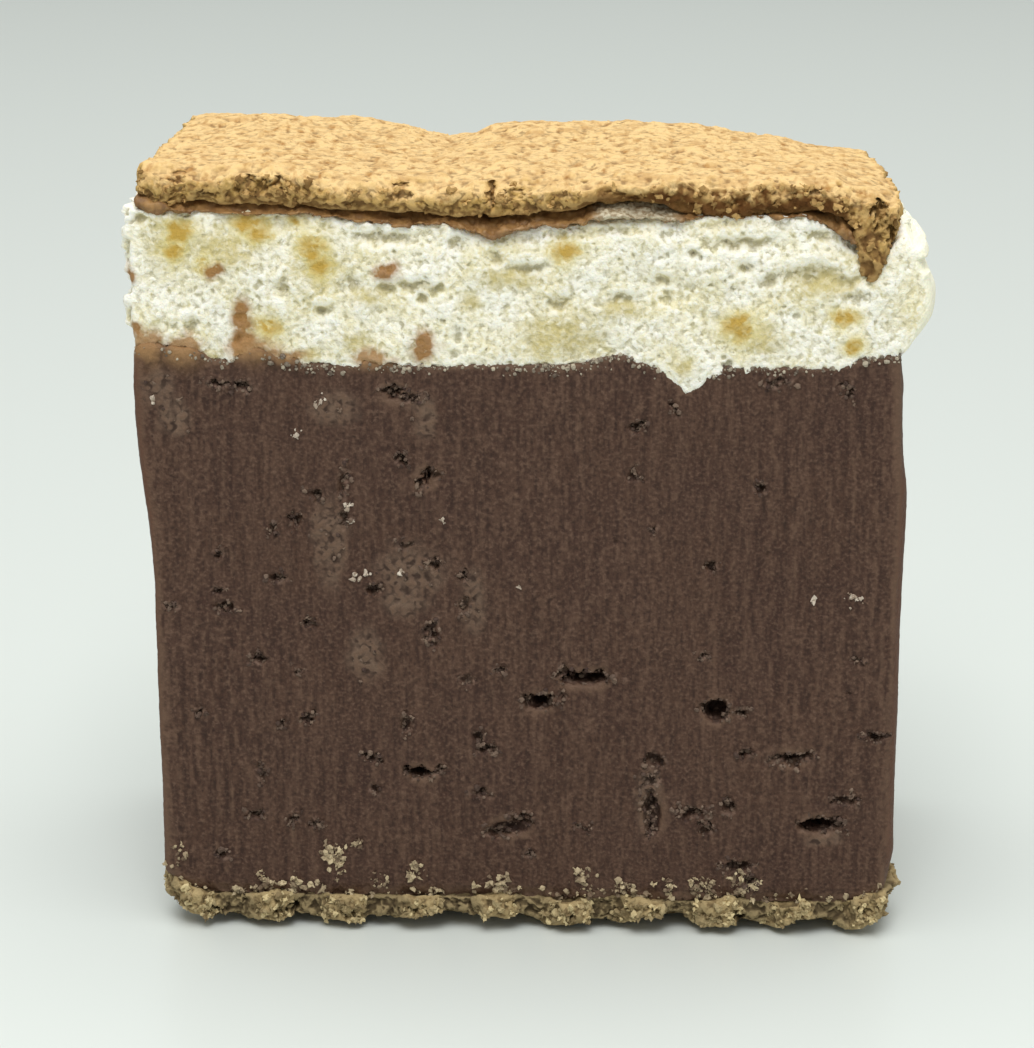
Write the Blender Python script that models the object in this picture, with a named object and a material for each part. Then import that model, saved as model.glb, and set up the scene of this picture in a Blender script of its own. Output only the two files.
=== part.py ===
"""A cut slice of s'mores fudge, modelled at its real size in metres, +Z up, front cut face towards -Y.

From the bottom: a cracker base, a thick block of chocolate fudge, a layer of marshmallow, a thin
spread of chocolate and a cracker lid. Each layer is one closed solid. Neighbours share the function
that gives the height of their joint, so that they meet with the same small gap everywhere.
"""

import math

import bmesh
import bpy
from mathutils import Vector, noise

MM = 0.001

# Driving dimensions. The slice is as wide as one cracker square.
SLICE_WIDTH = 64.0 * MM
SLICE_DEPTH = 35.0 * MM
BASE_THICKNESS = 3.1 * MM
FUDGE_HEIGHT = 49.2 * MM
MARSHMALLOW_HEIGHT = 12.1 * MM
CHOCOLATE_THICKNESS = 0.6 * MM
LID_THICKNESS = 3.1 * MM
GAP = 0.3 * MM

# Heights of the joints between layers, before their unevenness.
FUDGE_FOOT = BASE_THICKNESS
FUDGE_TOP = FUDGE_FOOT + FUDGE_HEIGHT
MARSHMALLOW_TOP = FUDGE_TOP + MARSHMALLOW_HEIGHT
CHOCOLATE_TOP = MARSHMALLOW_TOP + CHOCOLATE_THICKNESS
SLICE_HEIGHT = CHOCOLATE_TOP + LID_THICKNESS

HALF_WIDTH = SLICE_WIDTH / 2
HALF_DEPTH = SLICE_DEPTH / 2

# All layers have the same grid lines across and in depth, so that the faces of a joint match.
CELLS_ACROSS = 36
CELLS_DEEP = 9
EDGE_CELL = 0.9 * MM

# How the fudge's top runs along the front cut: place across, height and reach, in millimetres.
FUDGE_CREST = (
    (-30.6, 1.6, 2.0),
    (-27.6, 0.8, 1.2),
    (-22.0, 1.1, 1.9),
    (8.8, 1.1, 1.9),
    (15.0, -2.8, 1.3),
    (32.0, 1.4, 3.4),
)
# How the marshmallow's top runs under the lid along the front, in the same terms.
LID_SAGS = (
    (-29.9, -0.9, 1.6),
    (-2.0, -1.6, 2.1),
    (9.6, 1.4, 4.0),
    (20.4, -0.5, 2.4),
    (30.2, -3.9, 2.0),
)
# The larger air holes of the front cut: place across, height, width, tallness and depth, in mm.
FRONT_HOLES = (
    (6.2, 24.0, 4.6, 1.2, 1.8),
    (2.2, 21.7, 2.5, 1.4, 1.4),
    (17.8, 21.1, 2.2, 2.4, 1.4),
    (-8.5, 15.0, 2.0, 1.1, 2.0),
    (27.0, 10.5, 3.2, 1.5, 1.6),
    (24.6, 16.9, 3.2, 0.9, 1.2),
    (-0.4, 9.9, 3.6, 1.1, 1.2),
    (12.3, 11.3, 1.5, 4.2, 1.1),
    (-10.2, 49.6, 2.8, 0.9, 1.3),
    (-7.6, 42.1, 1.6, 1.4, 1.3),
)
# Tabs of crumb between the perforation holes along a snapped cracker edge.
TAB_PITCH = 6.7 * MM
TAB_START = -1.8 * MM

COLOURS = {
    "baked cracker": ((0.56, 0.36, 0.14, 1.0), 0.85),
    "fudge": ((0.080, 0.048, 0.035, 1.0), 0.55),
    "marshmallow": ((0.88, 0.84, 0.66, 1.0), 0.80),
    "spread chocolate": ((0.110, 0.050, 0.025, 1.0), 0.45),
}


def ease(share):
    """A smooth step from 0 to 1 as share goes from 0 to 1."""
    share = min(max(share, 0.0), 1.0)
    return share * share * (3.0 - 2.0 * share)


def bell(distance, reach):
    """1 at no distance, falling to nearly nothing at twice the reach."""
    return math.exp(-((distance / reach) ** 2))


def wave(x, y, length, seed, z=0.0):
    """Smooth unevenness between about -1 and 1, whose swells are about the given length apart."""
    return noise.noise(Vector((x / length + seed, y / length - seed, z / length)))


def at_front(y, reach=7.0 * MM):
    """1 on the front cut face, 0 deeper than the reach."""
    return 1.0 - ease((y + HALF_DEPTH) / reach)


def at_back(y):
    """1 on the back cut face, 0 on the front one."""
    return ease((y + HALF_DEPTH) / SLICE_DEPTH)


def along_front(x, y, shapes):
    """The height that a list of bumps and dips adds along the front cut, fading out behind it."""
    total = sum(tall * MM * bell(x - place * MM, reach * MM) for place, tall, reach in shapes)
    return total * at_front(y)


def at_ends(x, start, reach):
    """0 over the middle of the cracker base, 1 at its two ends."""
    middle = 1.4 * MM
    return ease((abs(x - middle) - start) / reach)


def underside(x, y):
    """Foot of the cracker base: flat where it stands, arched near its edges, lifted at both ends."""
    near_cut = ease((abs(y) - 8.0 * MM) / (8.0 * MM))
    arches = 0.8 * MM * ease((wave(x, y, 7.0 * MM, 3.1) - 0.12) / 0.25) * near_cut
    return 2.4 * MM * at_ends(x, 29.0 * MM, 3.6 * MM) ** 2 + arches


def base_top(x, y):
    """Joint of the cracker base and the fudge, curling up at both ends."""
    return FUDGE_FOOT + 0.35 * MM * wave(x, y, 5.0 * MM, 7.7) + 1.6 * MM * at_ends(x, 29.6 * MM, 3.0 * MM)


def fudge_top(x, y):
    """Joint of the fudge and the marshmallow."""
    behind = 0.9 * MM * wave(x, y, 8.0 * MM, 1.9) * (1.0 - at_front(y))
    return FUDGE_TOP + along_front(x, y, FUDGE_CREST) + behind


def marshmallow_top(x, y):
    """Joint of the marshmallow and the chocolate under the lid, higher at the left end."""
    left = 1.2 * MM * ease((-x - 8.0 * MM) / (14.0 * MM))
    droop = -2.2 * MM * ease((x - 14.0 * MM) / (18.0 * MM)) * at_back(y)
    swell = 0.3 * MM * wave(x, y, 9.0 * MM, 5.3)
    return MARSHMALLOW_TOP + left + droop + swell + along_front(x, y, LID_SAGS)


def chocolate_top(x, y):
    """Joint of the chocolate and the lid."""
    return marshmallow_top(x, y) + CHOCOLATE_THICKNESS * (1.0 + 0.3 * wave(x, y, 5.0 * MM, 8.8))


def lid_top(x, y):
    """Upper face of the cracker lid: low pillows, a dip at the back and a droop at the right."""
    left = 0.6 * MM * ease((-x - 12.0 * MM) / (10.0 * MM))
    dip = -1.2 * MM * bell(x + 7.4 * MM, 3.2 * MM) * at_back(y)
    droop = -2.3 * MM * ease((x - 14.0 * MM) / (18.0 * MM)) * at_back(y)
    corner = -1.5 * MM * ease((x - 25.0 * MM) / (7.0 * MM)) * at_front(y, 14.0 * MM)
    front_wear = -0.8 * MM * bell(x + 6.0 * MM, 7.5 * MM) * at_front(y, 5.0 * MM)
    pillows = 0.35 * MM * wave(x, y, 8.0 * MM, 2.4)
    return SLICE_HEIGHT + left + dip + droop + corner + front_wear + pillows


def base_ends(y, z):
    """How far the left and right ends of the cracker base stand out past the nominal width."""
    return -0.8 * MM, 2.0 * MM


def fudge_ends(y, z):
    """The same for the fudge, which leans out at its upper left and steps in at its upper right."""
    left = 0.75 * MM * ease((z - 30.0 * MM) / (16.0 * MM)) - 0.5 * MM
    step = 0.5 * MM * ease((z - 41.0 * MM) / (3.0 * MM))
    return left, 1.9 * MM - 0.6 * MM * z / FUDGE_TOP - step


def marshmallow_ends(y, z):
    """The same for the marshmallow, whose right end swells out behind its front corner."""
    behind_corner = ease((y + HALF_DEPTH) / (6.0 * MM))
    low_swell = 2.3 * MM * bell(z - (FUDGE_TOP + 5.2 * MM), 2.8 * MM)
    high_swell = 1.4 * MM * bell(z - (FUDGE_TOP + 10.5 * MM), 3.2 * MM)
    return 0.7 * MM, 0.4 * MM + (low_swell + high_swell) * (0.55 + 0.45 * behind_corner)


def lid_ends(y, z):
    """The same for the lid, and for the chocolate under it."""
    return -0.2 * MM, 0.0


def torn_cracker(x, y, z):
    """Push of a snapped cracker's walls: tabs of crumb between the cuts of its perforation."""
    tabs = 0.5 + 0.5 * math.cos(2.0 * math.pi * (x + y + HALF_DEPTH - TAB_START) / TAB_PITCH)
    return 0.35 * MM * ease(tabs * 1.6 - 0.4) + 0.3 * MM * wave(x, y, 2.4 * MM, 6.1, z)


def cut_fudge(x, y, z):
    """Push of the fudge's cut faces, which are nearly flat."""
    return 0.15 * MM * wave(x, y, 12.0 * MM, 4.2, z)


def torn_marshmallow(x, y, z):
    """Push of the marshmallow's walls, which are lumpy all round."""
    return 0.35 * MM * wave(x, y, 4.0 * MM, 9.4, z)


def smeared_chocolate(x, y, z):
    """Push of the chocolate's edge, which wavers just inside the lid's."""
    return 0.25 * MM * wave(x, y, 5.0 * MM, 0.7) - 0.4 * MM


def line_place(share, cells, length):
    """Where a grid line lies: the outermost cells are narrow, the others equal."""
    line = round((share + 0.5) * cells)
    if line == 0:
        return -length / 2
    if line == cells:
        return length / 2
    return -length / 2 + EDGE_CELL + (line - 1) * (length - 2 * EDGE_CELL) / (cells - 2)


def rounded(point, half_size, rim):
    """Moves a point of a box's surface onto the box with rounded edges. Returns it and its way out."""
    inner = Vector(max(-half + rim, min(half - rim, c)) for c, half in zip(point, half_size))
    out = point - inner
    if out.length > 0.0:
        out.normalize()
    return inner + out * rim, out


def gridded_box(cells):
    """A unit box whose faces are cut into the given number of cells along each axis."""
    mesh = bmesh.new()
    bmesh.ops.create_cube(mesh, size=1.0)
    for axis, count in enumerate(cells):
        if count == 1:
            continue
        along = []
        for edge in mesh.edges:
            start, end = (vertex.co[axis] for vertex in edge.verts)
            if abs(start - end) > 0.9:
                along.append(edge)
        bmesh.ops.subdivide_edges(mesh, edges=along, cuts=count - 1, use_grid_fill=True)
    return mesh


def add_layer(name, finish, joints, heights, ends, push, cells_high, rim):
    """Adds one layer of the slice as an object.

    joints are the functions of its lower and upper face and heights their plain heights. ends gives
    how far its ends stand out, push moves its walls in or out, and rim is the radius of its edges.
    """
    floor, ceiling = joints
    low, high = heights
    thickness = high - low
    half_size = Vector((HALF_WIDTH, HALF_DEPTH, thickness / 2))
    mesh = gridded_box((CELLS_ACROSS, CELLS_DEEP, cells_high))
    for vertex in mesh.verts:
        share = vertex.co.copy()
        flat = Vector(
            (
                line_place(share.x, CELLS_ACROSS, SLICE_WIDTH),
                line_place(share.y, CELLS_DEEP, SLICE_DEPTH),
                share.z * thickness,
            )
        )
        place, out = rounded(flat, half_size, rim)
        height = low + thickness / 2 + place.z
        left, right = ends(place.y, height)
        end_reach = right if place.x > 0.0 else left
        reach = push(place.x, place.y, height)
        x = place.x + out.x * (reach + end_reach)
        y = place.y + out.y * reach
        bottom = floor(x, y)
        top = ceiling(x, y)
        vertex.co = (x, y, bottom + (place.z / thickness + 0.5) * (top - bottom))
    bmesh.ops.triangulate(mesh, faces=mesh.faces[:], quad_method="SHORT_EDGE")
    data = bpy.data.meshes.new(name)
    mesh.to_mesh(data)
    mesh.free()
    data.materials.append(finish)
    data.shade_smooth()
    data.set_sharp_from_angle(angle=math.radians(50))
    layer = bpy.data.objects.new(name, data)
    slice_parts.objects.link(layer)
    return layer


def raised(joint):
    """The same joint, a gap higher: the underside of the layer that lies on it."""
    return lambda x, y: joint(x, y) + GAP


def add_hole_cutter(index, hole):
    """A squashed, uneven ball that cuts one air hole into the front face of the fudge."""
    across, height, wide, tall, deep = (value * MM for value in hole)
    mesh = bmesh.new()
    bmesh.ops.create_icosphere(mesh, subdivisions=2, radius=1.0)
    for vertex in mesh.verts:
        uneven = 1.0 + 0.22 * noise.noise(vertex.co * 1.7 + Vector((index, 0.0, 0.0)))
        vertex.co = vertex.co * uneven
        vertex.co.x *= wide / 2
        vertex.co.y *= deep
        vertex.co.z *= tall / 2
    data = bpy.data.meshes.new(f"hole_{index}")
    mesh.to_mesh(data)
    mesh.free()
    cutter = bpy.data.objects.new(f"hole_{index}", data)
    cutter.location = (across, -HALF_DEPTH, height)
    cutter.hide_render = True
    cutter.display_type = "WIRE"
    cutters.objects.link(cutter)


def add_finish(name):
    """A plain finish with the layer's colour and roughness."""
    colour, roughness = COLOURS[name]
    finish = bpy.data.materials.new(name)
    finish.use_nodes = True
    shader = finish.node_tree.nodes["Principled BSDF"]
    shader.inputs["Base Color"].default_value = colour
    shader.inputs["Roughness"].default_value = roughness
    shader.inputs["Metallic"].default_value = 0.0
    finish.diffuse_color = colour
    return finish


def stand_on_origin():
    """Moves everything together so that the middle of the slice's foot is at the origin."""
    corners = [vertex.co for layer in slice_parts.objects for vertex in layer.data.vertices]
    lows = [min(corner[axis] for corner in corners) for axis in range(3)]
    highs = [max(corner[axis] for corner in corners) for axis in range(3)]
    middle_of_foot = Vector(((lows[0] + highs[0]) / 2, (lows[1] + highs[1]) / 2, lows[2]))
    for thing in [*slice_parts.objects, *cutters.objects]:
        thing.location -= middle_of_foot


for old in list(bpy.data.objects):
    bpy.data.objects.remove(old, do_unlink=True)

slice_parts = bpy.data.collections.new("smores_fudge")
cutters = bpy.data.collections.new("cutters")
bpy.context.scene.collection.children.link(slice_parts)
bpy.context.scene.collection.children.link(cutters)

finishes = {name: add_finish(name) for name in COLOURS}

add_layer(
    "cracker_base",
    finishes["baked cracker"],
    (underside, base_top),
    (0.0, FUDGE_FOOT),
    base_ends,
    torn_cracker,
    cells_high=3,
    rim=0.5 * MM,
)
fudge = add_layer(
    "fudge",
    finishes["fudge"],
    (raised(base_top), fudge_top),
    (FUDGE_FOOT + GAP, FUDGE_TOP),
    fudge_ends,
    cut_fudge,
    cells_high=16,
    rim=0.4 * MM,
)
add_layer(
    "marshmallow",
    finishes["marshmallow"],
    (raised(fudge_top), marshmallow_top),
    (FUDGE_TOP + GAP, MARSHMALLOW_TOP),
    marshmallow_ends,
    torn_marshmallow,
    cells_high=6,
    rim=0.35 * MM,
)
add_layer(
    "chocolate_spread",
    finishes["spread chocolate"],
    (raised(marshmallow_top), chocolate_top),
    (MARSHMALLOW_TOP + GAP, CHOCOLATE_TOP),
    lid_ends,
    smeared_chocolate,
    cells_high=1,
    rim=0.12 * MM,
)
add_layer(
    "cracker_lid",
    finishes["baked cracker"],
    (raised(chocolate_top), lid_top),
    (CHOCOLATE_TOP + GAP, SLICE_HEIGHT),
    lid_ends,
    torn_cracker,
    cells_high=3,
    rim=0.6 * MM,
)

for index, hole in enumerate(FRONT_HOLES):
    add_hole_cutter(index, hole)
air_holes = fudge.modifiers.new("air holes", "BOOLEAN")
air_holes.operation = "DIFFERENCE"
air_holes.operand_type = "COLLECTION"
air_holes.collection = cutters
air_holes.solver = "EXACT"

stand_on_origin()
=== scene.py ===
"""Looks of a cut slice of s'mores fudge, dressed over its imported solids.

Each layer's solid is remade in small even faces, pushed into the surface of its cut or torn food and
given that food's finish. Crumbs and grains of sugar lie on the cut. Lengths are in metres, in the
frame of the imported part: the front cut face is towards -Y and +X is to its right.
"""

import math

import bmesh
import bpy
import numpy as np
from mathutils import Euler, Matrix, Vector


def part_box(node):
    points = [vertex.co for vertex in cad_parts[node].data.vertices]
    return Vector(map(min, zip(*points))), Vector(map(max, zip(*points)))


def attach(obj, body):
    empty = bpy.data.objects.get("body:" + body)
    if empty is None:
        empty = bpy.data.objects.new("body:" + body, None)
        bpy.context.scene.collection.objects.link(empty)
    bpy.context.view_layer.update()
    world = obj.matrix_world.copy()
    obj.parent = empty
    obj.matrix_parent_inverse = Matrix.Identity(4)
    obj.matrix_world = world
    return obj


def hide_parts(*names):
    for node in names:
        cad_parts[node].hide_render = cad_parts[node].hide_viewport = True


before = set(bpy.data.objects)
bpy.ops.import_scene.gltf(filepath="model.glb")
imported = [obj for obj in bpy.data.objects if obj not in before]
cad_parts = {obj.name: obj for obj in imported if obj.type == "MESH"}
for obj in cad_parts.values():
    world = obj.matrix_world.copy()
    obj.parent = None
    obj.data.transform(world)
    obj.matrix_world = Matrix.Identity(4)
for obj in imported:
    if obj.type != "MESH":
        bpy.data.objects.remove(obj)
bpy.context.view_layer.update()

MM = 0.001
ROOT = "root"

# The photograph's camera, solved from the width of one cracker square.
PHOTO_SIZE = (1034, 1048)
FOCAL_LENGTH_PIXELS = 2868
SENSOR_SIZE_MM = 36.0
CAMERA_PLACE = Vector((8.9, -255.8, 106.0)) * MM
CAMERA_PITCH = math.radians(15.9)
CAMERA_TURN = math.radians(2.3)
TABLE_HALF = 1.5

# Sizes of the faces that each layer is remade in, and the most triangles a piece may keep.
COARSE_FACE = 0.3 * MM
FINE_FACE = 0.2 * MM
FOAM_FACE = 0.16 * MM
FUDGE_FACE = 0.22 * MM
MOST_TRIANGLES = 192_000

# Neighbouring solids keep 0.3 mm apart. The real layers stick together, so each is let in a little.
LET_IN = 0.45 * MM

FUDGE_LOW, FUDGE_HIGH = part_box("fudge")
FRONT = FUDGE_LOW.y + 0.15 * MM

# Air holes in the front cut of the fudge: place across, height, width, tallness and depth, in mm.
CUT_HOLES = (
    (5.3, 24.2, 4.4, 1.1, 1.5), (3.9, 24.6, 1.2, 0.7, 0.8), (1.3, 21.8, 2.3, 1.2, 1.2),
    (3.4, 22.5, 0.6, 0.5, 0.5), (16.9, 21.2, 2.2, 1.9, 1.2), (19.1, 21.1, 0.9, 0.8, 0.8),
    (-9.4, 15.0, 2.0, 1.0, 1.8), (-7.6, 15.3, 0.9, 0.5, 0.7), (25.9, 10.5, 2.8, 1.3, 1.5),
    (27.6, 10.4, 1.6, 0.9, 0.8), (28.3, 12.8, 1.9, 0.8, 0.8), (23.7, 16.9, 3.2, 0.7, 0.9),
    (23.6, 16.4, 1.0, 0.8, 1.0), (30.9, 19.1, 2.0, 0.7, 0.9), (-0.2, 10.8, 1.9, 0.9, 0.9),
    (-2.4, 9.4, 2.0, 0.7, 1.0), (11.4, 16.5, 1.5, 1.3, 0.9), (11.2, 14.6, 1.1, 1.0, 0.6),
    (11.1, 12.4, 1.5, 2.2, 0.7), (11.0, 9.9, 0.9, 1.2, 0.5), (15.0, 11.6, 2.4, 0.9, 0.9),
    (16.2, 10.2, 1.1, 1.1, 0.7), (18.2, 12.2, 1.0, 1.3, 0.7), (19.4, 17.1, 0.8, 0.9, 0.8),
    (-11.1, 49.7, 1.9, 0.9, 1.1), (-9.9, 49.3, 1.6, 0.5, 0.8), (-26.4, 50.4, 1.7, 0.6, 0.8),
    (-24.2, 50.0, 1.6, 0.6, 0.8), (-8.2, 42.4, 1.2, 0.8, 1.0), (-9.1, 41.6, 0.6, 1.0, 0.7),
    (-10.5, 43.9, 0.9, 1.0, 0.7), (-18.1, 40.6, 1.0, 1.1, 0.7), (-15.6, 41.4, 0.4, 2.2, 0.5),
    (-15.7, 38.3, 0.6, 1.5, 0.8), (-19.9, 38.0, 0.8, 1.1, 0.8), (-21.9, 37.4, 0.7, 1.1, 0.6),
    (-26.7, 35.0, 1.0, 0.7, 0.9), (-26.7, 31.7, 0.9, 0.6, 0.7), (-26.1, 30.2, 1.2, 0.7, 0.9),
    (-31.0, 30.4, 1.0, 0.5, 0.6), (-21.7, 32.8, 1.3, 0.6, 0.8), (-7.9, 34.5, 1.2, 0.9, 1.1),
    (-13.1, 31.9, 1.1, 0.6, 0.9), (-10.4, 36.1, 1.0, 0.6, 0.5), (-8.1, 28.1, 0.9, 1.9, 0.7),
    (-5.4, 33.2, 0.8, 1.0, 0.5), (-5.1, 30.6, 0.9, 1.6, 0.4), (-18.8, 28.8, 1.1, 0.8, 0.7),
    (-23.5, 25.3, 1.2, 0.8, 0.7), (-19.8, 24.5, 0.8, 0.7, 0.5), (-2.1, 24.6, 1.0, 0.5, 0.5),
    (-5.0, 23.8, 0.7, 0.7, 0.5), (16.1, 34.4, 1.0, 0.6, 0.9), (9.6, 46.8, 1.3, 0.9, 0.8),
    (9.4, 42.5, 0.6, 0.9, 0.5), (12.8, 48.4, 0.5, 0.6, 0.6), (11.2, 37.8, 0.4, 0.5, 0.4),
    (20.4, 41.5, 0.9, 0.6, 0.6), (21.5, 50.8, 1.6, 0.4, 0.6), (26.9, 50.6, 0.9, 0.4, 0.6),
    (27.7, 49.8, 0.5, 0.7, 0.6), (15.8, 26.2, 0.7, 0.6, 0.5), (29.1, 26.0, 0.7, 0.4, 0.4),
    (-4.1, 18.4, 0.9, 0.9, 0.8), (-3.3, 17.4, 1.3, 0.6, 0.9), (-10.5, 19.5, 0.9, 1.8, 0.6),
    (-13.8, 16.4, 1.1, 0.5, 0.7), (-12.9, 16.3, 0.6, 0.5, 0.6), (-19.2, 19.9, 1.3, 1.0, 0.8),
    (-21.5, 19.6, 0.7, 0.6, 0.6), (-28.8, 20.5, 0.7, 0.5, 0.6), (-23.3, 14.8, 0.5, 1.5, 0.5),
    (-13.3, 13.2, 0.6, 0.8, 0.5), (-3.9, 13.1, 1.2, 0.4, 0.6), (-23.9, 10.9, 1.6, 0.6, 0.8),
    (-20.8, 10.3, 1.0, 0.9, 0.7), (-18.7, 9.8, 0.9, 0.7, 0.8), (-27.2, 6.9, 1.0, 0.5, 0.7),
    (0.4, 7.6, 0.8, 0.4, 0.5), (5.2, 10.0, 0.9, 0.5, 0.4), (19.0, 6.4, 2.4, 0.9, 1.0),
    (20.2, 5.0, 0.9, 1.4, 0.8),
)
HOLE_FRAY = 0.45 * MM
# Paler patches where the knife has dragged and roughened the cut: place, height, width, tallness.
ROUGH_PATCHES = (
    (-10.0, 33.6, 5.6, 5.4), (-10.6, 30.9, 4.4, 2.6), (-31.6, 49.8, 3.0, 3.4), (-30.2, 47.4, 2.6, 4.0),
    (-16.3, 48.2, 4.2, 3.0), (-8.6, 47.6, 2.2, 4.4), (-17.0, 36.0, 3.0, 8.0), (26.8, 9.2, 3.4, 1.6),
    (11.0, 12.8, 2.2, 6.4), (-14.0, 26.0, 3.4, 5.0), (-4.4, 31.0, 2.2, 6.0),
)
# Crumbs from the base, dragged up onto the cut: place across, height and reach, in mm.
DRAGGED_CRUMBS = (
    (-17.2, 7.2, 1.3), (-16.9, 5.6, 0.9), (-9.6, 5.6, 0.8), (-13.0, 4.6, 0.8), (-20.9, 4.3, 0.9),
    (-15.0, 8.2, 0.5), (-30.9, 7.2, 0.7), (-31.9, 6.0, 0.5), (19.6, 4.6, 1.1), (16.0, 4.4, 1.2),
    (5.6, 5.0, 1.2), (8.6, 4.4, 1.0), (12.6, 4.6, 0.9), (-2.2, 4.8, 0.9), (-23.6, 4.0, 1.0),
)
# Grains of sugar and pale crumbs caught in the cut, in the same terms.
SUGAR_SPOTS = (
    (-14.7, 33.1, 0.5), (-13.7, 33.4, 0.45), (-10.3, 33.6, 0.5), (28.4, 31.7, 0.55), (29.3, 31.4, 0.4),
    (31.5, 30.0, 0.3), (30.6, 29.4, 0.3), (24.8, 31.7, 0.35), (-0.3, 35.6, 0.15), (-0.5, 32.3, 0.15),
    (-15.7, 39.5, 0.4), (-15.6, 38.0, 0.3), (-6.9, 38.0, 0.2), (-31.3, 51.0, 0.3), (-32.0, 48.6, 0.25),
    (-17.5, 49.0, 0.5), (-21.0, 34.9, 0.25), (-19.6, 46.0, 0.4), (24.8, 8.6, 0.25),
)
# Stains in the marshmallow: place across, height, width and tallness, in mm.
HONEY_STAINS = (
    (-29.2, 63.4, 2.4, 2.2), (-29.8, 61.8, 1.8, 1.8), (-23.6, 64.0, 3.6, 1.5), (-22.4, 63.2, 2.6, 1.7),
    (-17.9, 61.9, 2.8, 2.4), (-17.2, 60.4, 2.4, 1.8), (3.4, 62.0, 2.6, 2.2), (18.1, 55.5, 2.8, 2.6),
    (27.0, 56.3, 2.4, 1.8), (27.7, 54.0, 1.9, 1.5), (-27.2, 60.5, 1.4, 1.6), (-21.9, 55.4, 2.4, 2.2),
    (-19.4, 64.4, 1.4, 1.0),
)
CARAMEL_STAINS = (
    (-11.8, 60.0, 1.9, 1.4), (-24.1, 56.2, 1.8, 2.8), (-24.2, 53.9, 1.8, 2.4), (-33.3, 55.0, 1.0, 1.0),
    (-8.6, 53.7, 2.0, 2.4), (-26.2, 60.0, 1.3, 1.2), (-33.6, 59.7, 0.9, 1.4),
)
# Smoother, olive patches of chewy marshmallow, in the same terms. The last, under the torn lip at the
# right, also carries painted shade.
CHEWY_PATCHES = (
    (-25.5, 61.8, 6.0, 3.4), (-30.0, 62.4, 3.6, 4.2), (-17.6, 60.6, 4.4, 4.0), (3.0, 54.8, 6.6, 4.2),
    (20.3, 54.4, 3.0, 2.6), (13.6, 52.0, 1.4, 1.8), (-26.7, 52.6, 1.8, 1.6), (-18.6, 52.7, 2.2, 1.4),
    (-14.4, 53.8, 2.8, 2.0), (-13.4, 58.0, 2.8, 1.6), (-1.2, 59.6, 4.4, 1.8), (-4.6, 57.6, 1.6, 1.4),
    (8.0, 57.0, 3.0, 1.4), (25.4, 59.2, 6.0, 2.2),
)
# Smears of melted chocolate and caramel where the fudge meets the marshmallow.
MELTED_SMEARS = (
    (-32.3, 53.5, 3.2, 2.8), (-29.2, 53.2, 3.0, 2.4), (-23.2, 53.2, 4.2, 2.0), (-19.9, 52.6, 2.4, 1.3),
    (-12.9, 52.6, 3.0, 1.5),
)
# Where the marshmallow's own skin begins, at its right end.
SKIN_START = 31.2 * MM
# Shaded recesses torn into the marshmallow: place across, height, width and tallness, in mm.
TORN_CELLS = (
    (24.0, 60.0, 5.6, 1.2), (27.2, 59.4, 2.6, 1.0), (18.0, 62.7, 5.0, 0.9), (18.5, 60.5, 1.3, 0.9),
    (20.6, 59.6, 1.4, 1.1), (28.0, 58.2, 1.6, 0.9), (24.6, 63.2, 2.4, 0.8), (8.1, 57.8, 1.9, 0.7),
    (14.3, 61.9, 0.8, 0.7), (-12.3, 63.0, 4.6, 1.1), (-9.2, 58.8, 3.0, 1.0), (-11.9, 58.6, 1.6, 0.9),
    (-8.7, 57.8, 1.1, 0.9), (-5.7, 62.3, 1.5, 1.2), (-14.8, 59.0, 1.6, 1.4), (-20.5, 58.7, 1.4, 1.4),
    (-28.5, 55.0, 1.1, 1.4), (0.4, 60.4, 2.6, 0.7), (-2.6, 61.2, 1.5, 1.0), (-17.2, 56.6, 1.1, 0.9),
    (2.6, 57.6, 1.6, 0.8), (11.6, 59.4, 1.6, 0.9), (-32.3, 64.4, 1.2, 0.9),
)
# Broken places along the lid's front: place across, height, width, tallness and depth, in mm.
LID_BREAKS = (
    (-23.2, 67.2, 3.4, 1.4, 0.8), (-21.0, 67.6, 1.4, 0.7, 0.6), (-29.3, 67.7, 1.4, 1.6, 0.5),
    (-26.6, 66.6, 1.6, 0.6, 0.4), (-10.3, 66.9, 1.4, 0.9, 0.5), (-3.0, 67.4, 0.5, 3.4, 1.0),
    (-0.9, 66.6, 1.5, 1.2, 0.4), (8.6, 66.8, 2.0, 0.6, 0.4), (18.0, 66.4, 1.8, 0.7, 0.4),
    (29.5, 65.4, 0.9, 2.4, 1.8), (30.6, 63.4, 0.6, 1.4, 1.0), (24.0, 67.2, 2.2, 0.5, 0.6),
)
# Burst bubbles along the base's front, in the same terms.
BASE_BREAKS = (
    (-21.6, 1.7, 2.6, 1.1, 1.2), (-15.6, 1.5, 1.6, 1.1, 1.4), (-9.4, 2.0, 2.2, 0.5, 0.9),
    (4.2, 1.9, 1.0, 1.0, 1.2), (11.4, 2.1, 1.4, 0.7, 0.9), (19.0, 1.8, 1.4, 1.2, 1.1),
    (25.0, 2.2, 1.2, 0.6, 0.7), (-28.2, 1.6, 1.6, 0.6, 0.7), (30.4, 2.4, 1.4, 0.6, 0.7),
)
# A crack that runs up the lid's front, in the same terms.
LID_CRACKS = (
    (-2.8, 66.9, 0.5, 3.4, 1.3), (-3.2, 68.2, 0.4, 1.6, 0.6),
)
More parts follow.
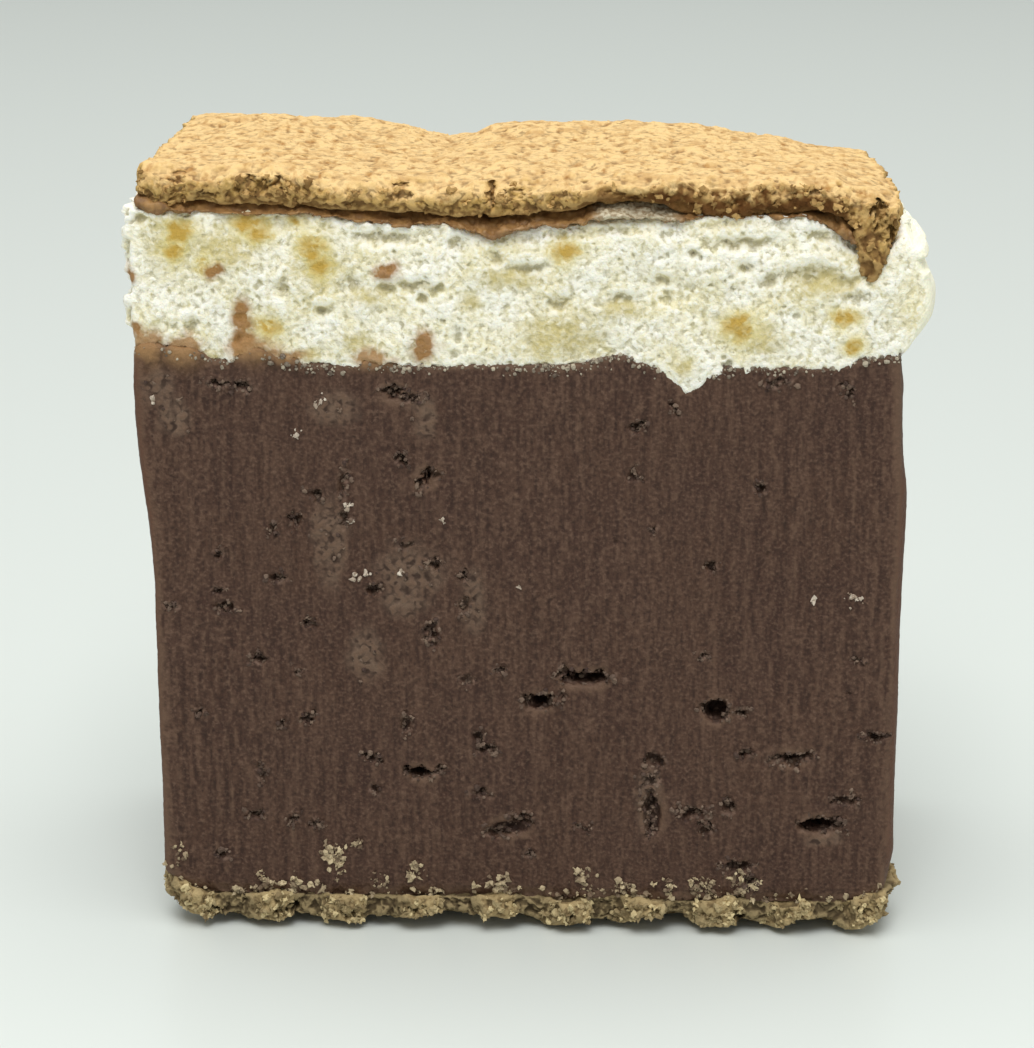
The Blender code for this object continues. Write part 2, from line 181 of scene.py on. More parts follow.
# The lid's lower edge along the front and that of the chocolate under it: place across and height, in mm.
LID_EDGE = (
    (-33.2, 66.0), (-31.6, 65.0), (-30.4, 65.1), (-29.8, 65.8), (-25.6, 65.6), (-17.2, 65.2),
    (-10.5, 64.8), (-3.0, 64.6), (2.1, 64.9), (4.4, 65.1), (6.0, 65.8), (11.3, 65.8), (14.6, 65.0),
    (18.2, 64.4), (20.9, 65.1), (23.0, 65.3), (26.0, 65.1), (27.6, 64.0), (28.2, 60.6), (29.1, 59.2),
    (29.9, 60.2), (31.3, 63.9),
)
CHOCOLATE_EDGE = (
    (-30.3, 65.6), (-29.6, 64.9), (-17.2, 64.7), (-14.7, 64.3), (-10.5, 63.8), (-7.1, 64.1),
    (-4.6, 63.5), (-2.7, 62.9), (-0.5, 63.5), (2.1, 64.0), (3.8, 63.8), (6.0, 64.2), (12.7, 64.2),
    (14.6, 64.8), (23.7, 65.0), (25.1, 64.3), (26.8, 62.9), (28.2, 62.2), (29.6, 62.4), (31.3, 63.8),
)
# Where the lid's hanging corner begins, where its tip is, and the chocolate's streak whitened by
# marshmallow: its middle, half its width and its foot.
HANGING_CORNER = 26.5 * MM
CORNER_TIP = 29.4 * MM
WHITENED_STREAK = (9.4 * MM, 4.6 * MM, 64.45 * MM)
# The tabs along the base's snapped edge: spacing, and the place of one.
TAB_PITCH = 6.7 * MM
TAB_START = -2.7 * MM

# Noise is laid out askew, so that its lattice doesn't line up with the slice.
ASKEW = np.array(Euler((0.5, 0.9, 0.3)).to_matrix())


def hex_colour(text):
    """Linear RGBA of an sRGB hex value."""
    channels = [int(text[start : start + 2], 16) / 255 for start in (0, 2, 4)]
    linear = [c / 12.92 if c <= 0.04045 else ((c + 0.055) / 1.055) ** 2.4 for c in channels]
    return (*linear, 1.0)


def add(tree, kind, feeds=None, **settings):
    """Adds a node with its settings. A feed is an input's value, or the node or socket linked to it."""
    node = tree.nodes.new(kind)
    for name, value in settings.items():
        setattr(node, name, value)
    for key, value in (feeds or {}).items():
        if isinstance(value, bpy.types.Node):
            value = value.outputs[0]
        if isinstance(value, bpy.types.NodeSocket):
            tree.links.new(value, node.inputs[key])
        else:
            node.inputs[key].default_value = value
    return node


def maths(tree, operation, *values):
    """A node that works out a number from others."""
    return add(tree, "ShaderNodeMath", dict(enumerate(values)), operation=operation)


def vector_maths(tree, operation, *values):
    """A node that works out a vector from others."""
    return add(tree, "ShaderNodeVectorMath", dict(enumerate(values)), operation=operation)


def times(tree, vector, factor):
    """A vector times a number."""
    return add(tree, "ShaderNodeVectorMath", {0: vector, "Scale": factor}, operation="SCALE")


def stored(tree, name):
    """In Geometry Nodes, a number that the mesh keeps for each vertex."""
    return add(tree, "GeometryNodeInputNamedAttribute", {"Name": name}, data_type="FLOAT")


def ease(share):
    """A smooth step from 0 to 1, for arrays."""
    share = np.clip(share, 0.0, 1.0)
    return share * share * (3.0 - 2.0 * share)


def fade(distance, reach):
    """1 at no distance, falling smoothly to 0 at a reach in mm."""
    return ease(1.0 - distance / (reach * MM))


def rise(distance, reach):
    """0 at no distance, growing smoothly to 1 at a reach in mm."""
    return ease(distance / (reach * MM))


def lattice_noise(points, spacing, seed):
    """Smooth noise between -1 and 1 at each point, from random numbers on a lattice of this spacing."""
    laid = points @ ASKEW if np.ndim(spacing) == 0 else points
    place = laid / spacing + 37.7 * seed
    corner = np.floor(place)
    share = place - corner
    share = share * share * (3.0 - 2.0 * share)
    total = np.zeros(len(points))
    for step in np.ndindex(2, 2, 2):
        lattice = corner + step
        value = np.sin(lattice @ (12.9898, 78.233, 37.719)) * 43758.5453
        weight = np.prod(np.where(np.array(step) == 1, share, 1.0 - share), axis=1)
        total += weight * (value - np.floor(value))
    return 2.0 * total - 1.0


def swell(points, size, seed):
    """Smooth noise between -1 and 1 at each point. size is its swells' in mm, along each axis or all."""
    return lattice_noise(points, np.asarray(size) * MM, seed)


def chunks(points, size, seed):
    """A number between -1 and 1 for each angular little block, of a size in mm, that a point lies in."""
    spacing = size * MM
    bent = points @ ASKEW / spacing + 17.3 * seed
    for axis in range(3):
        bent[:, axis] += 0.6 * lattice_noise(points, 1.7 * spacing, seed + 0.3 * axis)
    value = np.sin(np.floor(bent) @ (12.9898, 78.233, 37.719)) * 43758.5453
    return 2.0 * (value - np.floor(value)) - 1.0


def height_along(points, line):
    """The height of a line drawn on the front, at each point's place across."""
    places, heights = np.array(line).T * MM
    return np.interp(points[:, 0], places, heights)


def read_mesh(piece):
    """Places and ways out of a piece's vertices, as arrays."""
    count = len(piece.data.vertices)
    points = np.empty(count * 3)
    normals = np.empty(count * 3)
    piece.data.vertices.foreach_get("co", points)
    piece.data.vertices.foreach_get("normal", normals)
    return points.reshape(-1, 3), normals.reshape(-1, 3)


def write_points(piece, points):
    """Moves a piece's vertices."""
    piece.data.vertices.foreach_set("co", points.ravel())
    piece.data.update()


def put(name, data):
    """A new object with this data, put in the scene."""
    thing = bpy.data.objects.new(name, data)
    bpy.context.scene.collection.objects.link(thing)
    return thing


def write_masks(piece, **masks):
    """Keeps named numbers for each vertex, for the finish or for Geometry Nodes to read."""
    for name, values in masks.items():
        mask = piece.data.attributes.get(name) or piece.data.attributes.new(name, "FLOAT", "POINT")
        mask.data.foreach_set("value", np.asarray(values, dtype=np.float32))


def settle(piece):
    """Makes what a piece's modifiers give its plain mesh."""
    graph = bpy.context.evaluated_depsgraph_get()
    mesh = bpy.data.meshes.new_from_object(piece.evaluated_get(graph))
    piece.modifiers.clear()
    piece.data = mesh
    mesh.shade_smooth()


def copy_solid(node, name):
    """A copy of a layer's solid, as a piece with coarse even faces that can be pushed into shape."""
    mesh = bpy.data.meshes.new(name)
    solid = bmesh.new()
    solid.from_mesh(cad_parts[node].data)
    bmesh.ops.remove_doubles(solid, verts=solid.verts, dist=0.001 * MM)
    solid.to_mesh(mesh)
    solid.free()
    piece = put(name, mesh)
    even_faces(piece, COARSE_FACE)
    return piece


def even_faces(piece, face_size):
    """Remakes a piece in small even faces. Returns its new places and ways out."""
    remesh = piece.modifiers.new("even faces", "REMESH")
    remesh.mode = "VOXEL"
    remesh.voxel_size = face_size
    smooth = piece.modifiers.new("soften steps", "SMOOTH")
    smooth.factor = 0.5
    smooth.iterations = 2
    settle(piece)
    return read_mesh(piece)


def thin_out(piece, kept):
    """Merges faces where kept is false until there are few enough. Returns new places and ways out."""
    triangles = sum(len(face.vertices) - 2 for face in piece.data.polygons)
    if triangles > MOST_TRIANGLES:
        spare = piece.vertex_groups.new(name="spare")
        spare.add(np.flatnonzero(~kept).tolist(), 1.0, "REPLACE")
        decimate = piece.modifiers.new("thin out", "DECIMATE")
        decimate.vertex_group = spare.name
        decimate.ratio = MOST_TRIANGLES / triangles
        settle(piece)
        piece.vertex_groups.clear()
    return read_mesh(piece)


def sunken(piece, reach, rounds=6):
    """How far each vertex lies in a dip of the surface: 0 on a crest, 0.5 on the flat, 1 in a crevice. The
    finishes paint shade into crevices and highlights onto crests by it.
    """
    points, normals = read_mesh(piece)
    edges = np.empty(2 * len(piece.data.edges), dtype=np.int32)
    piece.data.edges.foreach_get("vertices", edges)
    starts, ends = edges[0::2], edges[1::2]
    neighbours = np.bincount(edges, minlength=len(points))
    smooth = points
    for _ in range(rounds):
        total = smooth.copy()
        for axis in range(3):
            total[:, axis] += np.bincount(starts, smooth[ends, axis], minlength=len(points))
            total[:, axis] += np.bincount(ends, smooth[starts, axis], minlength=len(points))
        smooth = total / (neighbours + 1)[:, None]
    depth = np.sum((smooth - points) * normals, axis=1)
    return np.clip(0.5 + 0.5 * depth / reach, 0.0, 1.0)


def facing_front(normals):
    """1 where the surface faces the front, 0 where it faces aside."""
    return ease((-normals[:, 1] - 0.3) / 0.4)


def close_to_front(points):
    """1 on the front, fading to 0 at 3 mm behind it."""
    return rise(FRONT + 3.0 * MM - points[:, 1], 2.0)


def distance_from(across, height, place, level, wide, tall):
    """How far points are from a spot's centre: 1 on the ellipse of its width and tallness, in mm."""
    return np.hypot((across - place * MM) / (wide * MM / 2), (height - level * MM) / (tall * MM / 2))


def spots(points, places):
    """How far each point is into the nearest of some spots on the front: 1 at a centre, 0 outside."""
    coarse, fine = 0.4 * MM, 0.2 * MM
    across = points[:, 0] + coarse * swell(points, 1.1, 3) + fine * swell(points, 0.5, 4)
    height = points[:, 2] + coarse * swell(points, 1.1, 5) + fine * swell(points, 0.5, 6)
    most = np.zeros(len(points))
    for spot in places:
        distance = distance_from(across, height, *spot)
        most = np.maximum(most, np.clip((1.35 - distance) / 0.85, 0.0, 1.0))
    return ease(most) * close_to_front(points)


def soaked(points, places):
    """How deep each point lies in a soft round stain: 1 at a centre, fading to 0 around it."""
    across = points[:, 0] + 0.35 * MM * swell(points, 1.2, 3)
    height = points[:, 2] + 0.35 * MM * swell(points, 1.2, 5)
    most = np.zeros(len(points))
    for spot in places:
        most = np.maximum(most, np.exp(-0.9 * distance_from(across, height, *spot) ** 2))
    patchy = 1.0 + 0.4 * swell(points, 0.8, 8) + 0.3 * chunks(points, 0.4, 9)
    return np.clip(most * patchy, 0.0, 1.0) * close_to_front(points)


def holes_at(points, holes, ragged):
    """Depth, inside share and rim share of ragged holes in the front, at each point across and up."""
    coarse, fine = 0.7 * ragged, 0.45 * ragged
    across = points[:, 0] + coarse * swell(points, 0.8, 11) + fine * chunks(points, 0.4, 12)
    height = points[:, 2] + coarse * swell(points, 0.8, 13) + fine * chunks(points, 0.4, 14)
    fray = 1.0 + 0.25 * swell(points, 0.45, 10)
    depth = np.zeros(len(points))
    inside = np.zeros(len(points))
    rim = np.zeros(len(points))
    for place, level, wide, tall, deep in holes:
        distance = fray * distance_from(across, height, place, level, wide, tall)
        bowl = np.sqrt(np.clip(1.0 - distance**2, 0.0, 1.0))
        depth = np.maximum(depth, deep * MM * np.minimum(1.0, 1.4 * bowl))
        inside = np.maximum(inside, np.clip((0.95 - distance) / 0.5, 0.0, 1.0))
        past_edge = (distance - 1.0) * min(wide, tall) * MM / 2
        rim = np.maximum(rim, np.clip(1.0 - np.abs(past_edge - 0.1 * MM) / (0.2 * MM), 0.0, 1.0))
    return depth, inside, rim * (inside < 0.3)


def wall_span(points, near):
    """The lowest and highest place of the front wall in each point's column, read where near is true."""
    column = ((points[:, 0] - points[:, 0].min()) / (0.6 * MM)).astype(int)
    foot = np.full(column.max() + 1, points[:, 2].max())
    top = np.full(column.max() + 1, points[:, 2].min())
    np.minimum.at(foot, column[near], points[near, 2])
    np.maximum.at(top, column[near], points[near, 2])
    return foot[column], np.maximum(top, foot + MM)[column]


def group_with_sockets(name, sockets):
    """A Geometry Nodes group with named inputs. Returns it and its inputs' sockets."""
    tree = bpy.data.node_groups.new(name, "GeometryNodeTree")
    tree.interface.new_socket("Geometry", in_out="INPUT", socket_type="NodeSocketGeometry")
    for label, kind in sockets.items():
        tree.interface.new_socket(label, in_out="INPUT", socket_type=f"NodeSocket{kind}")
    tree.interface.new_socket("Geometry", in_out="OUTPUT", socket_type="NodeSocketGeometry")
    return tree, add(tree, "NodeGroupInput").outputs


def end_group(tree, geometry, finish):
    """Ends a group: instances made real, and the finish set."""
    realized = add(tree, "GeometryNodeRealizeInstances", {"Geometry": geometry})
    finished = add(tree, "GeometryNodeSetMaterial", {"Geometry": realized, "Material": finish})
    add(tree, "NodeGroupOutput", {"Geometry": finished})


def use_group(piece, tree, values):
    """Runs a Geometry Nodes group on a piece with these values of its named inputs."""
    modifier = piece.modifiers.new(tree.name, "NODES")
    modifier.node_group = tree
    for item in tree.interface.items_tree:
        if item.in_out == "INPUT" and item.name in values:
            modifier[item.identifier] = values[item.name]
    settle(piece)


def open_cells_group():
    """Group that presses rounded open cells into a surface and keeps how deep each point lies."""
    numbers = dict.fromkeys(("Spacing", "Depth", "Open share", "Reach", "Seed"), "Float")
    tree, given = group_with_sockets("open cells", {**numbers, "Where": "String", "Finish": "Material"})
    position = add(tree, "GeometryNodeInputPosition")
    normal = add(tree, "GeometryNodeInputNormal")
    rate = maths(tree, "DIVIDE", 1.0, given["Spacing"])
    scaled = times(tree, position, rate)
    bend = add(tree, "ShaderNodeTexNoise", {"Vector": scaled, "Scale": 1.3, "Detail": 2.0})
    middle, reach = (0.5, 0.5, 0.5), (0.9, 0.9, 0.9)
    centred = vector_maths(tree, "SUBTRACT", bend.outputs["Color"], middle)
    bent = vector_maths(tree, "MULTIPLY_ADD", centred, reach, scaled)
    cells = add(
        tree,
        "ShaderNodeTexVoronoi",
        {"Vector": bent, "W": given["Seed"], "Scale": 1.0},
        voronoi_dimensions="4D",
        feature="F1",
    )
    chance = add(tree, "FunctionNodeSeparateColor", {0: cells.outputs["Color"]})
    is_open = maths(tree, "LESS_THAN", chance, given["Open share"])
    bowl = add(
        tree,
        "ShaderNodeMapRange",
        {0: cells.outputs["Distance"], 1: given["Reach"], 2: 0.08, 3: 0.0, 4: 1.0},
        interpolation_type="SMOOTHSTEP",
    )
    where = stored(tree, given["Where"])
    uneven = maths(tree, "MULTIPLY_ADD", chance.outputs[1], 0.7, 0.5)
    sunk = bowl
    for share in (where, is_open, uneven):
        sunk = maths(tree, "MULTIPLY", sunk, share)
    depth = maths(tree, "MULTIPLY", sunk, given["Depth"])
    inward = maths(tree, "MULTIPLY", depth, -1.0)
    offset = times(tree, normal, inward)
    before = stored(tree, "hollow")
    deepest = maths(tree, "MAXIMUM", before, sunk)
    kept = add(
        tree,
        "GeometryNodeStoreNamedAttribute",
        {"Geometry": given["Geometry"], "Name": "hollow", "Value": deepest},
        data_type="FLOAT",
        domain="POINT",
    )
    pressed = add(tree, "GeometryNodeSetPosition", {"Geometry": kept, "Offset": offset})
    end_group(tree, pressed, given["Finish"])
    return tree


def press_cells(piece, finish, passes):
    """Presses cells into a piece: the mask that holds them, spacing, depth, open share, reach and seed."""
    write_masks(piece, hollow=np.zeros(len(piece.data.vertices)))
    for where, spacing, depth, share, reach, seed in passes:
        values = {"Spacing": spacing * MM, "Depth": depth * MM, "Open share": share, "Reach": reach}
        use_group(piece, open_cells, {**values, "Seed": seed, "Where": where, "Finish": finish})


def crumbs_group():
    """Group that strews uneven crumbs over a surface where a mask says, half sunk in it."""
    sockets = dict.fromkeys(("Per square metre", "Smallest", "Largest"), "Float")
    sockets |= {"Seed": "Int", "Where": "String", "Finish": "Material"}
    tree, given = group_with_sockets("strewn crumbs", sockets)
    where = stored(tree, given["Where"])
    density = maths(tree, "MULTIPLY", where, given["Per square metre"])
    scattered = add(
        tree,
        "GeometryNodeDistributePointsOnFaces",
        {"Mesh": given["Geometry"], "Density": density, "Seed": given["Seed"]},
        distribute_method="RANDOM",
    )
    ball = add(tree, "GeometryNodeMeshIcoSphere", {"Radius": 0.5, "Subdivisions": 2})
    place = add(tree, "GeometryNodeInputPosition")
    knobs = add(tree, "ShaderNodeTexNoise", {"Vector": place, "Scale": 3.0, "Detail": 1.0})
    knob = add(tree, "ShaderNodeMapRange", {0: knobs, 1: 0.3, 2: 0.7, 3: -0.7, 4: 0.7}, clamp=False)
    outward = times(tree, place, knob)
    crumb = add(tree, "GeometryNodeSetPosition", {"Geometry": ball, "Offset": outward})
    seed = given["Seed"]
    size = add(tree, "FunctionNodeRandomValue", {2: 0.0, 3: 1.0, "Seed": seed}, data_type="FLOAT")
    small_mostly = maths(tree, "POWER", size.outputs[1], 2.2)
    smallest, largest = given["Smallest"], given["Largest"]
    scale = add(tree, "ShaderNodeMapRange", {0: small_mostly, 3: smallest, 4: largest})
    shapes = {0: (0.6, 0.6, 0.5), 1: (1.2, 1.0, 0.9), "Seed": seed}
    squash = add(tree, "FunctionNodeRandomValue", shapes, data_type="FLOAT_VECTOR")
    sizes = times(tree, squash, scale)
    any_turn = {0: (0.0, 0.0, 0.0), 1: (6.28, 6.28, 6.28)}
    turn = add(tree, "FunctionNodeRandomValue", any_turn, data_type="FLOAT_VECTOR")
    laid = {"Points": scattered, "Instance": crumb, "Rotation": turn, "Scale": sizes}
    placed = add(tree, "GeometryNodeInstanceOnPoints", laid)
    tint = add(tree, "FunctionNodeRandomValue", {2: 0.0, 3: 1.0, "Seed": 5}, data_type="FLOAT")
    tinted = add(
        tree,
        "GeometryNodeStoreNamedAttribute",
        {"Geometry": placed, "Name": "tint", "Value": tint.outputs[1]},
        data_type="FLOAT",
        domain="INSTANCE",
    )
    loose = add(tree, "GeometryNodeRealizeInstances", {"Geometry": tinted})
    position = add(tree, "GeometryNodeInputPosition")
    normal = add(tree, "GeometryNodeInputNormal")
    lumps = add(tree, "ShaderNodeTexNoise", {"Vector": position, "Scale": 1 / (0.4 * MM), "Detail": 1.0})
    lifts = {0: lumps, 1: 0.25, 2: 0.75, 3: -0.25 * MM, 4: 0.25 * MM}
    lift = add(tree, "ShaderNodeMapRange", lifts, clamp=False)
    offset = times(tree, normal, lift)
    crumpled = add(tree, "GeometryNodeSetPosition", {"Geometry": loose, "Offset": offset})
    end_group(tree, crumpled, given["Finish"])
    return tree


def new_finish(name, roughness, ior, **shader_numbers):
    """A material with its Principled shader's own numbers set. Returns it, its tree and its shader."""
    finish = bpy.data.materials.new(name)
    finish.use_nodes = True
    tree = finish.node_tree
    shader = tree.nodes["Principled BSDF"]
    shader.inputs["Roughness"].default_value = roughness
    shader.inputs["IOR"].default_value = ior
    for label, value in shader_numbers.items():
        shader.inputs[label.replace("_", " ")].default_value = value
    return finish, tree, shader


def mixed(tree, share, first, second, most=None):
    """The colour between two, by a share. Each is a hex value or a socket. most caps the share."""
    colour_a, colour_b, colour_out = 6, 7, 2
    if most is not None:
        share = maths(tree, "MULTIPLY", share, most)
    feeds = {
        0: share,
        colour_a: hex_colour(first) if isinstance(first, str) else first,
        colour_b: hex_colour(second) if isinstance(second, str) else second,
    }
    node = add(tree, "ShaderNodeMix", feeds, data_type="RGBA")
    return node.outputs[colour_out]


def mask(tree, name):
    """A number that the piece's mesh keeps for each vertex."""
    return add(tree, "ShaderNodeAttribute", attribute_name=name).outputs["Fac"]


def spread(tree, value, low, high):
    """How far a value is from low to high, between 0 and 1."""
    return add(tree, "ShaderNodeMapRange", {0: value, 1: low, 2: high}).outputs[0]


def layered(tree, colour, layers):
    """A colour under others, each laid on by a noise or a named mask: source, low, high, colour, most."""
    for source, low, high, over, most in layers:
        share = mask(tree, source) if isinstance(source, str) else source
        if low is not None:
            share = spread(tree, share, low, high)
        colour = mixed(tree, share, colour, over, most)
    return colour


def end_finish(tree, shader, colour, height, strength, distance):
    """Gives a shader its colour and the relief that is too fine for the mesh."""
    tree.links.new(colour, shader.inputs["Base Color"])
    bump = add(tree, "ShaderNodeBump", {"Strength": strength, "Distance": distance, "Height": height})
    tree.links.new(bump.outputs["Normal"], shader.inputs["Normal"])


def noise(tree, place, size, detail, stretch=(1.0, 1.0, 1.0)):
    """Noise with grains of about this size in the object, stretched along each axis."""
    scale = [1 / (size * times) for times in stretch]
    sized = add(tree, "ShaderNodeMapping", {"Vector": place, "Scale": scale})
    return add(tree, "ShaderNodeTexNoise", {"Vector": sized, "Scale": 1.0, "Detail": detail}).outputs[0]


def fudge_finish():
    """Chocolate fudge, cut with a knife: dull and dense, faintly dragged, with crumbly hole rims. Shade is
    painted into its crevices, air holes and pores, and highlights onto its crests and hole rims.
    """
    finish, tree, shader = new_finish(
        "fudge, knife cut", roughness=0.62, ior=1.45, Specular_IOR_Level=0.3
    )
    place = add(tree, "ShaderNodeTexCoord").outputs["Object"]
    clouds = noise(tree, place, 7.0 * MM, detail=3.0)
    curds = noise(tree, place, 0.9 * MM, detail=4.0)
    specks = noise(tree, place, 0.3 * MM, detail=3.0)
    streaks = noise(tree, place, 0.3 * MM, detail=3.0, stretch=(1.0, 1.0, 8.0))
    colour = layered(
        tree,
        "3f281f",
        (
            (clouds, 0.4, 0.6, "483024", None),
            (curds, 0.45, 0.7, "543c2f", 0.6),
            ("drag", 0.15, 0.85, "563e31", 0.75),
            (streaks, 0.45, 0.7, "36221a", 0.75),
            (specks, 0.5, 0.72, "6a5142", 0.75),
            (specks, 0.45, 0.28, "2f1d15", 0.7),
            ("rough", None, None, "7c6655", 0.72),
            # painted shade in the cut's crevices, then a painted highlight on its crests
            ("sunken", 0.5, 1.0, "2b1a12", 0.8),
            ("sunken", 0.45, 0.0, "6b5241", 0.7),
            # pale crumb with a painted highlight on the air holes' rims
            ("rim", None, None, "83695a", 0.8),
            ("edge", None, None, "5e4031", 0.9),
            ("smear", None, None, "9d784f", 0.85),
            # painted shade inside the air holes and pores
            ("hollow", None, None, "2f1f17", 0.6),
        ),
    )
    grain = maths(tree, "MULTIPLY_ADD", streaks, 0.6, specks)
    end_finish(tree, shader, colour, grain, strength=0.7, distance=0.22 * MM)
    return finish


def marshmallow_finish():
    """Marshmallow, torn open: a cream-white foam that lets light in, stained with honey and caramel. Shade
    is painted into its cells, crevices and torn recesses, and highlights onto its crests.
    """
    finish, tree, shader = new_finish(
        "marshmallow, torn",
        roughness=0.75,
        ior=1.4,
        Specular_IOR_Level=0.3,
        Subsurface_Weight=0.15,
        Subsurface_Scale=0.8 * MM,
    )
    shader.inputs["Subsurface Radius"].default_value = (1.0, 0.8, 0.5)
    place = add(tree, "ShaderNodeTexCoord").outputs["Object"]
    clouds = noise(tree, place, 3.5 * MM, detail=4.0)
    cells = noise(tree, place, 0.7 * MM, detail=4.0)
    foam = noise(tree, place, 0.3 * MM, detail=3.0)
    colour = layered(
        tree,
        "fcf8ea",
        (
            (clouds, 0.42, 0.62, "f0e6c0", None),
            (cells, 0.5, 0.72, "d3ca9f", None),
            # olive chewy patches; the one under the torn lip at the right also carries painted shade
            ("chewy", None, None, "cbbf88", 0.75),
            # painted shade in the foam's crevices, then a painted highlight on its crests
            ("sunken", 0.5, 1.0, "9c936c", 0.6),
            ("sunken", 0.4, 0.0, "fffdf4", 0.6),
            (foam, 0.5, 0.7, "fffdf0", 0.5),
            # painted shade inside the pressed cells
            ("hollow", None, None, "aaa27a", 0.38),
            # painted shade in the torn recesses
            ("recess", 0.15, 0.9, "c0b48c", 0.5),
            ("chewy", 0.2, 0.9, "cbbb7e", 0.65),
            ("honey", 0.05, 0.5, "dccd8a", 0.75),
            ("honey", 0.35, 0.9, "be983c", 0.88),
            ("caramel", 0.06, 0.6, "98692f", 0.92),
            ("smear", 0.1, 0.6, "a88054", 0.92),
            ("skin", None, None, "fffae2", None),
        ),
    )
    end_finish(tree, shader, colour, foam, strength=0.8, distance=0.25 * MM)
    return finish


def cracker_finish(name, face, face_spots, crumb, crumb_dark, crest, low, cut, pit_shade):
    """Baked cracker: dry and porous. Its face is golden, a broken edge browner and a cut edge smooth.
    Shade is painted into its crevices and pores, and highlights onto its crests.
    """
    finish, tree, shader = new_finish(name, roughness=0.85, ior=1.45, Specular_IOR_Level=0.25)
    place = add(tree, "ShaderNodeTexCoord").outputs["Object"]
    blotches = noise(tree, place, 1.6 * MM, detail=5.0)
    pores = noise(tree, place, 0.8 * MM, detail=4.0, stretch=(1.0, 2.5, 1.0))
    grains = noise(tree, place, 0.45 * MM, detail=4.0)
    speckled = mixed(tree, spread(tree, pores, 0.52, 0.72), face, face_spots)
    upper = mixed(tree, spread(tree, blotches, 0.48, 0.66), speckled, face_spots, 0.55)
    broken = mixed(tree, spread(tree, blotches, 0.4, 0.62), crumb, crumb_dark, 0.6)
    grainy = mixed(tree, spread(tree, grains, 0.5, 0.7), broken, crumb_dark, 0.6)
    both = mixed(tree, spread(tree, mask(tree, "broken"), 0.0, 0.5), upper, grainy)
    colour = layered(
        tree,
        both,
        (
            ("broken", 0.55, 1.0, low, 0.8),
            ("smooth", None, None, cut, 0.85),
            # painted shade in crevices, then a painted highlight on crests
            ("sunken", 0.5, 1.0, pit_shade, 0.6),
            ("sunken", 0.4, 0.0, crest, 0.4),
            ("toasted", None, None, "643d19", 0.95),
            # painted shade inside the pressed pores
            ("hollow", None, None, pit_shade, 0.6),
        ),
    )
    end_finish(tree, shader, colour, grains, strength=0.9, distance=0.35 * MM)
    return finish


def chocolate_finish():
    """Milk chocolate, melted and smeared: reddish brown, dull, and whitened by marshmallow in places."""
    finish, tree, shader = new_finish("milk chocolate, smeared", roughness=0.55, ior=1.46)
    place = add(tree, "ShaderNodeTexCoord").outputs["Object"]
    scuffs = noise(tree, place, 1.0 * MM, detail=5.0)
    grains = noise(tree, place, 0.35 * MM, detail=3.0)
    brown = mixed(tree, spread(tree, scuffs, 0.42, 0.65), "7d5933", "a27a48")
    grainy = mixed(tree, spread(tree, grains, 0.5, 0.75), brown, "a38056", 0.7)
    pale = mixed(tree, spread(tree, grains, 0.4, 0.6), "cfc6ac", "917f63")
    colour = mixed(tree, mask(tree, "whitened"), grainy, pale, 0.85)
    end_finish(tree, shader, colour, scuffs, strength=0.7, distance=0.2 * MM)
    return finish


def crumb_finish(name, dark, pale):
    """Loose crumb or sugar: each grain has its own tint between two colours."""
    finish, tree, shader = new_finish(name, roughness=0.8, ior=1.45, Specular_IOR_Level=0.3)
    tree.links.new(mixed(tree, mask(tree, "tint"), dark, pale), shader.inputs["Base Color"])
    return finish


def drag_lines(points):
    """The knife's upright drag marks on a cut face, between -1 and 1."""
    bent = points.copy()
    bent[:, 0] += 0.8 * MM * swell(points, 8.0, 15)
    wide = swell(bent, (0.9, 0.9, 9.0), 16)
    fine = swell(bent, (0.36, 0.36, 1.8), 17)
    return np.clip(0.55 * wide + 0.65 * fine, -1.0, 1.0)


def knife_marks(points, normals, upright):
    """Offsets of the fudge's walls: faint drag marks, a fine crumbly grain and roughened patches."""
    dragged = 0.7 + 0.6 * ease(0.5 + 0.9 * swell(points, (16.0, 16.0, 24.0), 18))
    drags = 0.042 * dragged * drag_lines(points)
    rough = spots(points, ROUGH_PATCHES)
    grain = 0.014 * chunks(points, 0.4, 4) + 0.012 * swell(points, 0.5, 5)
    crust = 0.8 * swell(points, 1.0, 6) + 0.6 * chunks(points, 0.4, 7)
    waves = 0.12 * swell(points, (9.0, 9.0, 13.0), 9)
    push = upright * (drags + grain + waves) + 0.09 * rough * crust
    return normals * (MM * push)[:, None]


def tabs(points):
    """1 on a tab of crumb of a snapped cracker edge, 0 in a cut of its perforation."""
    along = points[:, 0] + points[:, 1] - FRONT - TAB_START
    ripple = 0.5 + 0.5 * np.cos(2.0 * np.pi * along / TAB_PITCH)
    return ease(1.9 * ripple - 0.35 + 0.25 * swell(points, 1.2, 45))


